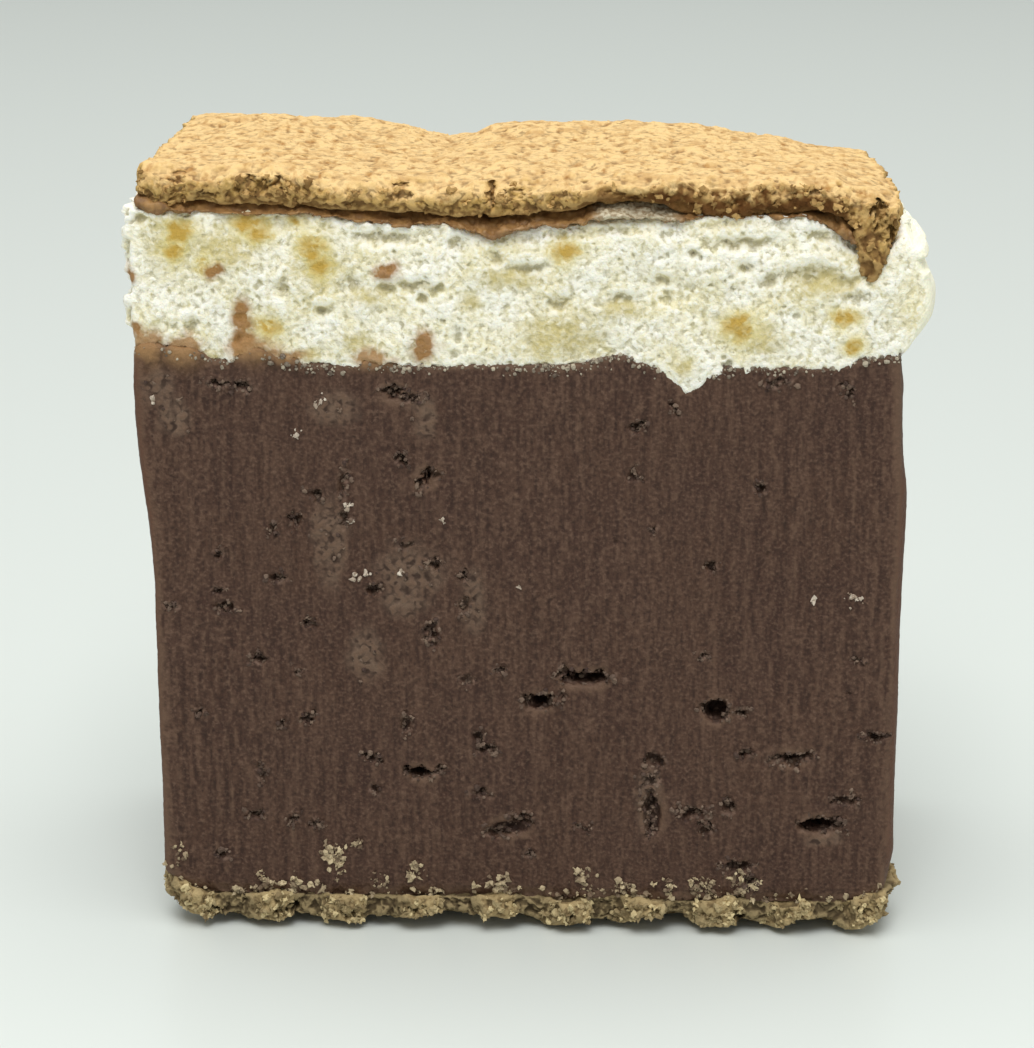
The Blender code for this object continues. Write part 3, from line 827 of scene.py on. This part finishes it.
def make_fudge(finish):
    """The fudge: a knife-cut face with drag marks, air holes and roughened patches."""
    piece = copy_solid("fudge", "fudge_block")
    points, normals = even_faces(piece, FUDGE_FACE)
    points += knife_marks(points, normals, 1.0 - np.abs(normals[:, 2]))
    points[:, 0] -= 0.6 * MM * ease(-normals[:, 0] / 0.6) * rise(points[:, 2] - 30.0 * MM, 22.0)
    points[:, 0] += 0.35 * MM * ease(normals[:, 0] / 0.6) * rise(points[:, 2] - 25.0 * MM, 20.0)
    points[:, 2] -= LET_IN * ease(-normals[:, 2]) * (points[:, 2] < 8.0 * MM)
    swollen = soaked(points, MELTED_SMEARS) * fade(points[:, 1] - FRONT, 1.5)
    points[:, 1] -= 0.3 * MM * swollen
    points[:, 2] += 0.3 * MM * swollen * ease((normals[:, 2] + 0.2) / 0.5)
    write_points(piece, points)
    write_masks(piece, sunken=sunken(piece, 0.04 * MM))
    points, normals = read_mesh(piece)
    facing = facing_front(normals)
    depth, inside, rim = holes_at(points, CUT_HOLES, HOLE_FRAY)
    points[:, 1] += facing * depth
    crumbly = chunks(points, 0.6, 27) + 0.6 * chunks(points, 0.35, 28)
    points += normals * (0.22 * MM * np.maximum(inside, rim) * crumbly)[:, None]
    lowest = facing * ease(1.0 - (points[:, 2] - points[:, 2].min() - 0.4 * MM) / (1.4 * MM))
    points[:, 1] += MM * lowest * (0.3 + 0.25 * crumbly)
    points[:, 2] -= MM * lowest * 0.35 * swell(points, 1.3, 19)
    write_points(piece, points)
    inner = (points[:, 2] < 50.5 * MM) & (points[:, 2] > 5.0 * MM) & (inside < 0.05)
    walls = inner * (1.0 - np.abs(normals[:, 2]))
    behind = ease((points[:, 1] - FRONT - 1.5 * MM) / MM)
    write_masks(piece, pores=walls, air_holes=walls * behind)
    cells = (("pores", 1.9, 0.3, 0.08, 0.16, 1.0), ("air_holes", 2.8, 0.9, 0.35, 0.34, 1.0))
    press_cells(piece, finish, cells)
    points, normals = read_mesh(piece)
    points, normals = thin_out(piece, (normals[:, 1] < -0.2) | (points[:, 1] < FRONT + 1.5 * MM))
    front = (points[:, 1] < FRONT + 2.6 * MM) * (np.abs(points[:, 0]) < 32.6 * MM)
    _, inside, rim = holes_at(points, CUT_HOLES, HOLE_FRAY)
    pores = np.empty(len(points))
    piece.data.attributes["hollow"].data.foreach_get("value", pores)
    patchy = ease(0.2 + 0.9 * chunks(points, 0.35, 29))
    rough = spots(points, ROUGH_PATCHES)
    side = ease(np.abs(normals[:, 0]) / 0.5) * fade(points[:, 1] - FRONT, 2.2)
    # hollow carries the painted shade inside air holes and pores; rim carries pale crumb and a painted
    # highlight on their rims
    write_masks(
        piece,
        hollow=np.maximum(inside * front * (1.0 - 0.7 * patchy), 0.7 * pores),
        rough=rough * (0.3 + 0.7 * (0.5 + 0.5 * swell(points, 0.6, 5))),
        rim=rim * front * patchy,
        edge=rise(np.abs(points[:, 0]) - 32.0 * MM, 0.6) * side,
        smear=soaked(points, MELTED_SMEARS),
        drag=0.5 + 0.5 * drag_lines(points),
    )
    return piece


def skin_share(points, normals):
    """1 on the marshmallow's own smooth skin at the right end, 0 where it is torn."""
    past_cut = rise(points[:, 0] - SKIN_START, 0.9)
    return past_cut * ease((normals[:, 0] - 0.12) / 0.45)


def make_marshmallow(finish):
    """The marshmallow: torn foam in front, at the back and at the left, its own skin at the right."""
    piece = copy_solid("marshmallow", "torn_marshmallow")
    points, normals = read_mesh(piece)
    behind = points[:, 1] - FRONT
    near_front = fade(behind, 3.0)
    _, top = wall_span(points, behind < 1.5 * MM)
    at_top = near_front * rise(points[:, 2] - top + 2.5 * MM, 2.0)
    edge = height_along(points, CHOCOLATE_EDGE) + 0.25 * MM
    inner = ease((31.0 * MM - np.abs(points[:, 0])) / (2.0 * MM))
    points[:, 2] += at_top * inner * (edge - top)
    points[:, 2] += (1.0 - at_top) * LET_IN * ease((normals[:, 2] - 0.3) / 0.5)
    points[:, 1] += 0.35 * MM * at_top * inner
    smeared = soaked(points, MELTED_SMEARS)
    down = ease((-normals[:, 2] - 0.05) / 0.5)
    points[:, 2] -= down * (LET_IN + 0.3 * MM * (1.0 - smeared))
    middle = points[:, 2] - 0.5 * (points[:, 2].min() + points[:, 2].max())
    bulge = ease((normals[:, 0] - 0.1) / 0.6) * rise(points[:, 0] - 28.0 * MM, 4.0)
    points[:, 0] += 1.6 * MM * bulge * fade(np.abs(middle + 1.0 * MM), 9.0)
    write_points(piece, points)
    points, normals = even_faces(piece, FOAM_FACE)
    skin = skin_share(points, normals)
    inset = np.minimum(points[:, 1] - points[:, 1].min(), points[:, 1].max() - points[:, 1])
    inset = np.minimum(inset, points[:, 0] - points[:, 0].min())
    torn = (1.0 - skin) * ease(1.4 - inset / (2.5 * MM))
    lip = torn * ease((-normals[:, 2] - 0.1) / 0.4)
    ragged = 0.3 * ease(2.0 * swell(points, 0.9, 20)) + 0.2 * chunks(points, 0.45, 21)
    points[:, 2] -= MM * lip * ragged
    lumps = swell(points, 2.4, 22) + 0.6 * swell(points, 1.1, 23)
    grains = 0.7 * swell(points, 0.5, 24) + 0.7 * chunks(points, 0.4, 26)
    points += normals * (torn * MM * (0.14 * lumps + 0.07 * grains))[:, None]
    at_left = torn * ease((-normals[:, 0] - 0.3) / 0.4)
    spikes = ease((swell(points, 0.9, 25) - 0.1) / 0.6)
    points[:, 0] -= at_left * MM * (0.1 + 0.6 * spikes)
    at_right = skin * rise(points[:, 2] - 59.0 * MM, 2.0)
    points[:, 0] += at_right * MM * 0.6 * ease(2.0 * swell(points, (2.6, 2.6, 0.9), 29))
    facing = facing_front(normals)
    recess = soaked(points, TORN_CELLS)
    lip_above = ease(2.5 * soaked(points - (0.0, 0.0, 0.9 * MM), TORN_CELLS))
    points[:, 1] += facing * MM * (0.65 * recess - 0.15 * lip_above)
    write_points(piece, points)
    write_masks(piece, foam=torn * (1.0 - 0.7 * soaked(points, CHEWY_PATCHES)))
    press_cells(piece, finish, (("foam", 1.9, 0.38, 0.3, 0.4, 2.0), ("foam", 0.7, 0.23, 0.4, 0.4, 3.0)))
    points, normals = read_mesh(piece)
    points, normals = thin_out(piece, (np.abs(normals[:, 2]) < 0.8) | (points[:, 1] < FRONT + 1.0 * MM))
    write_masks(
        piece,
        honey=soaked(points, HONEY_STAINS),
        caramel=soaked(points, CARAMEL_STAINS),
        chewy=soaked(points, CHEWY_PATCHES),
        smear=soaked(points, MELTED_SMEARS),
        recess=soaked(points, TORN_CELLS),
        skin=skin_share(points, normals),
        sunken=sunken(piece, 0.045 * MM),
    )
    return piece


def make_cracker(piece, finish, breaks, cracks, seed):
    """Gives a cracker a finely porous face, and walls broken into coarse crumb."""
    points, normals = read_mesh(piece)
    wall = ease((1.0 - np.abs(normals[:, 2]) - 0.06) / 0.35)
    blisters = 0.8 * swell(points, 3.0, seed) + 0.9 * swell(points, 1.6, seed + 1)
    grains = swell(points, 0.6, seed + 4) + 0.7 * swell(points, 0.4, seed + 5)
    bumps = 0.24 * blisters + 0.08 * grains + 0.06 * chunks(points, 0.8, seed + 7)
    points += normals * ((1.0 - wall) * MM * bumps)[:, None]
    crags = 0.2 * swell(points, 1.9, seed + 2) + 0.2 * chunks(points, 0.9, seed + 3)
    flakes = 0.15 * chunks(points, 0.45, seed + 6) + 0.05 * grains
    points += normals * (wall * MM * (crags + flakes))[:, None]
    facing = ease((-normals[:, 1] - 0.2) / 0.4)
    broken_out, _, _ = holes_at(points, breaks, 0.6 * MM)
    cracked, _, _ = holes_at(points, cracks, 0.2 * MM)
    points[:, 1] += facing * np.maximum(broken_out, cracked)
    write_points(piece, points)
    write_masks(piece, crumb=wall, face=1.0 - wall)
    cells = (
        ("crumb", 1.4, 0.40, 0.22, 0.4, seed + 1.4),
        ("crumb", 0.75, 0.22, 0.4, 0.4, seed + 0.75),
        ("face", 2.2, 0.35, 0.25, 0.22, seed + 2.2),
        ("face", 0.9, 0.22, 0.45, 0.35, seed + 0.9),
    )
    press_cells(piece, finish, cells)


def make_lid(finish):
    """The cracker on top, with its worn front edge and the corner that hangs at the right."""
    piece = copy_solid("cracker_lid", "cracker_top")
    points, normals = read_mesh(piece)
    behind = points[:, 1] - FRONT
    foot, top = wall_span(points, behind < 1.5 * MM)
    level = ease((points[:, 2] - foot) / (top - foot))
    near_front = fade(behind, 3.5)
    worn = fade(behind, 2.2) * level * (0.5 + 0.4 * swell(points, 2.4, 38))
    ragged = 0.12 * swell(points, 1.6, 37)
    edge = height_along(points, LID_EDGE)
    points[:, 2] += near_front * (1.0 - level) * (edge - foot + ragged * MM) - MM * worn
    drawn_back = near_front * ease(1.0 - 1.3 * level) * rise(HANGING_CORNER - points[:, 0], 2.0)
    points[:, 1] += 0.45 * MM * drawn_back
    points[:, 1] -= 0.2 * MM * near_front * rise(63.0 * MM - points[:, 2], 2.0)
    write_points(piece, points)
    even_faces(piece, FINE_FACE)
    make_cracker(piece, finish, LID_BREAKS, LID_CRACKS, 31)
    points, normals = read_mesh(piece)
    points, normals = thin_out(piece, normals[:, 2] > -0.6)
    behind = points[:, 1] - FRONT
    foot, top = wall_span(points, behind < 1.0 * MM)
    ragged = 0.25 * swell(points, 1.2, 35) + 0.2 * chunks(points, 0.6, 36)
    lowness = (top - 0.3 * MM - points[:, 2]) / (top - foot) + ragged
    steep = ease((0.93 - normals[:, 2]) / 0.4)
    at_front = fade(behind, 2.0)
    to_the_right = rise(points[:, 0] - 3.0 * MM, 6.0) * ease(2.0 * lowness)
    corner = 1.0 - 0.8 * rise(points[:, 0] - HANGING_CORNER, 1.5)
    write_masks(
        piece,
        broken=steep * (0.6 + at_front * (np.clip(1.45 * lowness, 0.0, 1.0) - 0.6)),
        toasted=steep * at_front * to_the_right * corner,
        sunken=sunken(piece, 0.06 * MM),
    )
    return piece


def make_base(finish):
    """The cracker underneath: tabs of pale crumb between the smooth cuts of its perforation."""
    piece = copy_solid("cracker_base", "cracker_bottom")
    points, normals = read_mesh(piece)
    wall = ease((1.0 - np.abs(normals[:, 2]) - 0.1) / 0.5)
    tab = tabs(points)
    flat_out = normals * (1.0, 1.0, 0.0)
    points += flat_out * (MM * wall * (0.4 * tab - 0.35 * (1.0 - tab)))[:, None]
    upper_rim = ease(normals[:, 2] / 0.3) * ease((1.0 - normals[:, 2]) / 0.15)
    near_wall = rise(FRONT + 4.0 * MM - points[:, 1], 2.5)
    lower_rim = ease(-normals[:, 2] / 0.3) * np.maximum(near_wall, ease((1.0 + normals[:, 2]) / 0.1))
    points[:, 2] += MM * upper_rim * tab * (0.4 + 0.5 * swell(points, 0.9, 47))
    lift = (1.0 - tab) * (0.7 + 0.25 * swell(points, 2.0, 48)) + 0.45
    points[:, 2] += MM * lower_rim * lift
    undercut = fade(points[:, 2], 1.0) * wall
    points -= flat_out * (2.2 * MM * undercut)[:, None]
    write_points(piece, points)
    even_faces(piece, FINE_FACE)
    make_cracker(piece, finish, BASE_BREAKS, (), 41)
    points, normals = read_mesh(piece)
    points, _ = thin_out(piece, np.abs(normals[:, 2]) < 0.8)
    points[:, 2] = np.maximum(points[:, 2], 0.0)
    write_points(piece, points)
    half = np.full(len(points), 0.5)
    write_masks(piece, broken=half, smooth=1.0 - tabs(points), sunken=sunken(piece, 0.06 * MM))
    return piece


def make_chocolate(finish):
    """The thin chocolate between marshmallow and lid, squeezed unevenly out of the joint."""
    piece = copy_solid("chocolate_spread", "chocolate_smear")
    points, normals = read_mesh(piece)
    behind = points[:, 1] - FRONT
    near_front = fade(behind, 3.0)
    foot, top = wall_span(points, behind < 1.5 * MM)
    level = np.clip((points[:, 2] - foot) / (top - foot), 0.0, 1.0)
    wall = ease((1.0 - np.abs(normals[:, 2]) - 0.1) / 0.5)
    clear = 1.0 - np.exp(-(((points[:, 0] - CORNER_TIP) / (1.6 * MM)) ** 2))
    flat_out = normals * (1.0, 1.0, 0.0)
    points += flat_out * (0.95 * MM * wall * clear)[:, None]
    low = height_along(points, CHOCOLATE_EDGE)
    high = np.maximum(height_along(points, LID_EDGE), low) + 0.4 * MM
    shaped = low + level * (high - low)
    inner = ease((31.0 * MM - np.abs(points[:, 0])) / (1.5 * MM))
    points[:, 2] += near_front * inner * (shaped - points[:, 2])
    apart = LET_IN * np.sign(normals[:, 2]) * ease((np.abs(normals[:, 2]) - 0.1) / 0.5)
    points[:, 2] += (1.0 - near_front * inner) * apart
    write_points(piece, points)
    points, normals = even_faces(piece, FINE_FACE)
    crumbly = 0.12 * swell(points, 1.6, 51) + 0.12 * chunks(points, 0.5, 52)
    points += normals * (MM * crumbly)[:, None]
    points[:, 2] -= 0.25 * MM * ease(-normals[:, 2] / 0.5) * swell(points, 0.9, 53)
    write_points(piece, points)
    piece.data.materials.clear()
    piece.data.materials.append(finish)
    points, _ = thin_out(piece, np.abs(normals[:, 2]) < 0.8)
    place, half_width, foot = WHITENED_STREAK
    streak = ease(1.0 - np.abs(points[:, 0] - place) / half_width)
    above = ease((points[:, 2] - foot + 0.1 * MM * swell(points, 0.8, 54)) / (0.25 * MM))
    write_masks(piece, whitened=above * ease(3.0 * streak))
    return piece


def strew(surface, name, where, per_square_metre, smallest, largest, seed, finish):
    """Crumbs strewn over a piece where a mask says, as a piece of their own. Sizes are in millimetres."""
    crumbs = put(name, surface.data.copy())
    values = {"Per square metre": per_square_metre, "Smallest": smallest * MM, "Largest": largest * MM}
    use_group(crumbs, strewn_crumbs, {**values, "Seed": seed, "Where": where, "Finish": finish})
    crumbs.data.shade_flat()
    return crumbs


def mark_crumbs(fudge, lid, base):
    """Marks where crumbs of each kind lie: cracker, sugar, fudge and marshmallow."""
    points, normals = read_mesh(fudge)
    facing = facing_front(normals)
    front = facing * (points[:, 1] < FRONT + 0.6 * MM)
    foot, top = wall_span(points, points[:, 1] < FRONT + 1.0 * MM)
    low_band = 0.6 * fade(points[:, 2] - foot, 2.0) ** 2 * (0.25 + 0.75 * tabs(points))
    dragged, sugary = (
        spots(points, [(place, level, 2 * reach, 2 * reach) for place, level, reach in places])
        for places in (DRAGGED_CRUMBS, SUGAR_SPOTS)
    )
    _, inside, rim = holes_at(points, CUT_HOLES, HOLE_FRAY)
    in_holes = facing * (points[:, 1] < FRONT + 2.0 * MM) * (rim + 0.9 * inside)
    torn_line = fade(top - points[:, 2], 1.6) ** 2 * (0.6 + 0.4 * swell(points, 2.0, 61))
    write_masks(
        fudge,
        crumbs=front * np.maximum(low_band, dragged),
        sugar=front * sugary,
        chipping=in_holes + 0.05 * front * spots(points, ROUGH_PATCHES),
        frayed=front * torn_line * (1.0 - soaked(points, MELTED_SMEARS)),
    )
    for cracker in (lid, base):
        points, normals = read_mesh(cracker)
        wall = ease((0.75 - np.abs(normals[:, 2])) / 0.3)
        share = tabs(points) if cracker is base else 0.35 + 0.35 * swell(points, 2.0, 62)
        share *= 1.0 - 0.8 * rise(points[:, 1] - FRONT - MM, 2.0)
        write_masks(cracker, crumbs=wall * share * (points[:, 2] > 0.6 * MM))


def add_light(name, place, size, watts, colour, aim=(0.0, 0.0, 35.0)):
    """A square soft light aimed at the slice. Place, size and aim are in millimetres."""
    lamp = bpy.data.lights.new(name, "AREA")
    lamp.shape = "SQUARE"
    lamp.size = size * MM
    lamp.energy = watts
    lamp.color = hex_colour(colour)[:3]
    light = put(name, lamp)
    light.location = Vector(place) * MM
    light.rotation_euler = (light.location - Vector(aim) * MM).to_track_quat("Z", "Y").to_euler()


def set_stage():
    """A pale laminate table top, soft studio light and the photograph's camera."""
    finish, _, shader = new_finish("pale laminate table", roughness=0.35, ior=1.45)
    shader.inputs["Base Color"].default_value = hex_colour("d4d9d5")
    data = bpy.data.meshes.new("table_top")
    corners = [(TABLE_HALF * x, TABLE_HALF * y, 0.0) for x, y in ((-1, -1), (1, -1), (1, 1), (-1, 1))]
    data.from_pydata(corners, [], [(0, 1, 2, 3)])
    data.materials.append(finish)
    table = put("table_top", data)
    table.location.z = -0.02 * MM

    world = bpy.data.worlds.new("pale room")
    world.use_nodes = True
    world.node_tree.nodes["Background"].inputs["Color"].default_value = hex_colour("eef2ef")
    world.node_tree.nodes["Background"].inputs["Strength"].default_value = 0.55
    bpy.context.scene.world = world
    add_light("overhead softbox", (0.0, -120.0, 1500.0), 1500.0, 18.6, "fefefc")
    add_light("front fill", (0.0, -420.0, 600.0), 300.0, 1.9, "ffffff")

    lens = bpy.data.cameras.new("photo camera")
    lens.sensor_width = SENSOR_SIZE_MM
    lens.lens = FOCAL_LENGTH_PIXELS / max(PHOTO_SIZE) * SENSOR_SIZE_MM
    lens.clip_start = 1.0 * MM
    camera = put("photo camera", lens)
    camera.location = CAMERA_PLACE
    camera.rotation_euler = (math.pi / 2 - CAMERA_PITCH, 0.0, CAMERA_TURN)
    bpy.context.scene.camera = camera
    bpy.context.scene.view_settings.view_transform = "Standard"


set_stage()
open_cells = open_cells_group()
strewn_crumbs = crumbs_group()

fudge_cut = fudge_finish()
marshmallow_torn = marshmallow_finish()
# Each cracker's colours: the fifth is a painted highlight for crests, the last a painted shade for
# crevices and pores.
lid_baked = cracker_finish(
    "cracker, baked top", "e4c28a", "a97b45", "c9a35f", "977444", "dfba7a", "7c5c36", "7a5a30", "64472a"
)
base_baked = cracker_finish(
    "cracker, baked base", "b8a074", "7a6342", "a38d64", "6c573a", "c2ac80", "6c573a", "5a4c36", "271a10"
)
chocolate_smeared = chocolate_finish()
crumb_baked = crumb_finish("cracker crumb", "7a6748", "d2bf92")
crumb_smeared = crumb_finish("smeared crumb", "6e5a49", "c6b492")
crumb_golden = crumb_finish("golden crumb", "7a5a30", "c9a468")
sugar_grain = crumb_finish("sugar grain", "8c7866", "d9cdbd")
fudge_chipping = crumb_finish("fudge chipping", "41302a", "7d695a")
marshmallow_shred = crumb_finish("marshmallow shred", "5a4c42", "b8ad99")

fudge = make_fudge(fudge_cut)
marshmallow = make_marshmallow(marshmallow_torn)
lid = make_lid(lid_baked)
base = make_base(base_baked)
chocolate = make_chocolate(chocolate_smeared)
mark_crumbs(fudge, lid, base)
crumbs = strew(fudge, "dragged_crumbs", "crumbs", 9.0e6, 0.2, 0.85, 7, crumb_smeared)
lid_crumbs = strew(lid, "lid_crumbs", "crumbs", 2.5e6, 0.25, 0.9, 15, crumb_golden)
base_crumbs = strew(base, "base_crumbs", "crumbs", 4.0e6, 0.25, 0.9, 17, crumb_baked)
sugar = strew(fudge, "sugar_grains", "sugar", 7.0e6, 0.2, 0.6, 9, sugar_grain)
chippings = strew(fudge, "fudge_chippings", "chipping", 1.2e7, 0.12, 0.45, 11, fudge_chipping)
shreds = strew(fudge, "marshmallow_shreds", "frayed", 3.5e7, 0.07, 0.24, 13, marshmallow_shred)

for piece, node, slot in (
    (fudge, "fudge", "chocolate_fudge"),
    (marshmallow, "marshmallow", "torn_marshmallow"),
    (lid, "cracker_lid", "baked_cracker"),
    (base, "cracker_base", "baked_cracker"),
    (chocolate, "chocolate_spread", "milk_chocolate"),
    (crumbs, None, "baked_cracker"),
    (lid_crumbs, None, "baked_cracker"),
    (base_crumbs, None, "baked_cracker"),
    (sugar, None, "torn_marshmallow"),
    (chippings, None, "chocolate_fudge"),
    (shreds, None, "torn_marshmallow"),
):
    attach(piece, ROOT)
    if node:
        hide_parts(node)
